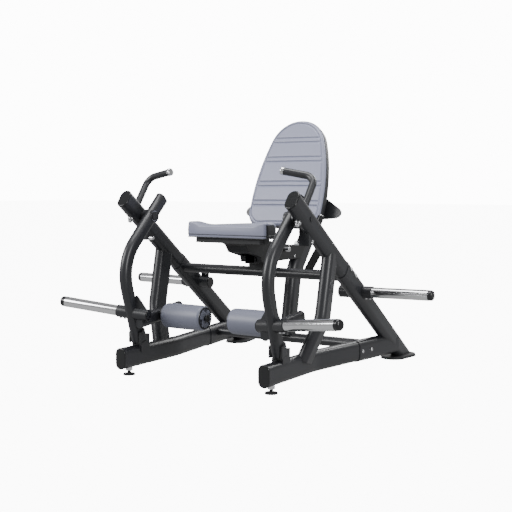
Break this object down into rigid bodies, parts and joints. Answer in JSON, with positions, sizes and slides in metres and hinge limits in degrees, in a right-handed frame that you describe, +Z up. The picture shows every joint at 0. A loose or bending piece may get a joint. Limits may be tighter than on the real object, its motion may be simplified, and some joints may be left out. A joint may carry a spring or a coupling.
{
  "type": "leg extension machine",
  "caption": "Plate-loaded iso-lateral leg machine: two independent lever arms with shin rollers, chrome weight horns, sliding seat.",
  "frame": {"origin": "on the floor, in the middle of the width and of the depth of the whole machine", "axes": "+X across the machine, to the right as seen from its front, which is the seated user's left; +Y to the rear, from the rollers to the back rest; +Z up"},
  "size_m": [1.7042, 1.3023, 1.2207],
  "materials": {
    "frame_paint": "satin charcoal powder coat on steel tube",
    "black_paint": "satin black powder coat on steel",
    "chrome": "polished chrome plate",
    "steel": "turned steel, zinc plated",
    "black_plastic": "glossy moulded caps",
    "moulded_plastic": "matt moulded plastic",
    "rubber": "matt moulded rubber",
    "grey_vinyl": "silver grey upholstery vinyl, fine grain",
    "roller_foam": "grey integral skin foam",
    "plywood": "plywood under black vinyl"
  },
  "bodies": {
    "frame": {"arm_stops": "frame_paint", "back_bolts": "chrome", "back_cushion": "grey_vinyl", "back_shell": "moulded_plastic", "base_sockets": "frame_paint", "chrome_fittings": "chrome", "frame_bolts": "chrome", "frame_caps": "black_plastic", "handles": "frame_paint", "hip_plate": "black_paint", "left_base_tube": "frame_paint", "left_post": "frame_paint", "left_rear_tube": "frame_paint", "left_upper_tube": "frame_paint", "lower_crossbar": "frame_paint", "mast": "frame_paint", "pivot_shafts": "black_plastic", "rear_feet": "frame_paint", "rear_foot_pads": "rubber", "right_base_tube": "frame_paint", "right_post": "frame_paint", "right_rear_tube": "frame_paint", "right_upper_tube": "frame_paint", "rubber_stops": "rubber", "seat_rail": "black_paint", "stop_knobs": "black_plastic", "storage_horns": "chrome", "storage_sleeves": "frame_paint", "upper_crossbar": "frame_paint"},
    "seat": {"seat_cushion": "grey_vinyl", "seat_board": "plywood", "seat_bracket": "black_paint", "seat_carriage": "black_paint", "carriage_liner": "moulded_plastic"},
    "lock_pin": {"lock_pin": "chrome"},
    "lever": {"hand_lever": "black_paint", "lever_grip": "black_plastic"},
    "right_leveller": {"right_leveller": "black_plastic"},
    "left_leveller": {"left_leveller": "black_plastic"},
    "right_arm": {"right_arm_bearings": "steel", "right_arm_caps": "black_plastic", "right_arm_fasteners": "chrome", "right_arm_tube": "frame_paint", "right_horn": "chrome", "right_horn_sleeve": "frame_paint", "right_roller_carrier": "frame_paint"},
    "right_roller": {"right_roller_core": "moulded_plastic", "right_roller_pad": "roller_foam"},
    "left_arm": {"left_arm_bearings": "steel", "left_arm_caps": "black_plastic", "left_arm_fasteners": "chrome", "left_arm_tube": "frame_paint", "left_horn": "chrome", "left_horn_sleeve": "frame_paint", "left_roller_carrier": "frame_paint"},
    "left_roller": {"left_roller_core": "moulded_plastic", "left_roller_pad": "roller_foam"}
  },
  "joints": [
    {"name": "right_arm_swing", "type": "hinge", "parent": "frame", "child": "right_arm", "pos_m": [0.385, -0.40047, 0.73751], "axis": [-1, 0, 0], "range_deg": [0, 90]},
    {"name": "right_roller_spin", "type": "hinge", "parent": "right_arm", "child": "right_roller", "pos_m": [0.188, -0.3923, 0.267], "axis": [1, 0, 0], "continuous": true},
    {"name": "right_leveller_turn", "type": "hinge", "parent": "frame", "child": "right_leveller", "pos_m": [0.388, -0.5683, 0.02], "axis": [0, 0, 1], "continuous": true},
    {"name": "left_arm_swing", "type": "hinge", "parent": "frame", "child": "left_arm", "pos_m": [-0.385, -0.40047, 0.73751], "axis": [-1, 0, 0], "range_deg": [0, 90]},
    {"name": "left_roller_spin", "type": "hinge", "parent": "left_arm", "child": "left_roller", "pos_m": [-0.188, -0.3923, 0.267], "axis": [1, 0, 0], "continuous": true},
    {"name": "left_leveller_turn", "type": "hinge", "parent": "frame", "child": "left_leveller", "pos_m": [-0.388, -0.5683, 0.02], "axis": [0, 0, 1], "continuous": true},
    {"name": "seat_slide", "type": "slide", "parent": "frame", "child": "seat", "axis": [0, 1, 0], "range_m": [-0.04, 0.06]},
    {"name": "lock_pin_pull", "type": "slide", "parent": "seat", "child": "lock_pin", "axis": [1, 0, 0], "range_m": [0, 0.012], "stiffness_N_per_m": 1500, "springref_m": -0.008},
    {"name": "lever_turn", "type": "hinge", "parent": "frame", "child": "lever", "pos_m": [0.239, 0.0007, 0.462], "axis": [0, 1, 0], "range_deg": [0, 18], "stiffness_Nm_per_rad": 4, "springref_deg": -17.19}
  ]
}
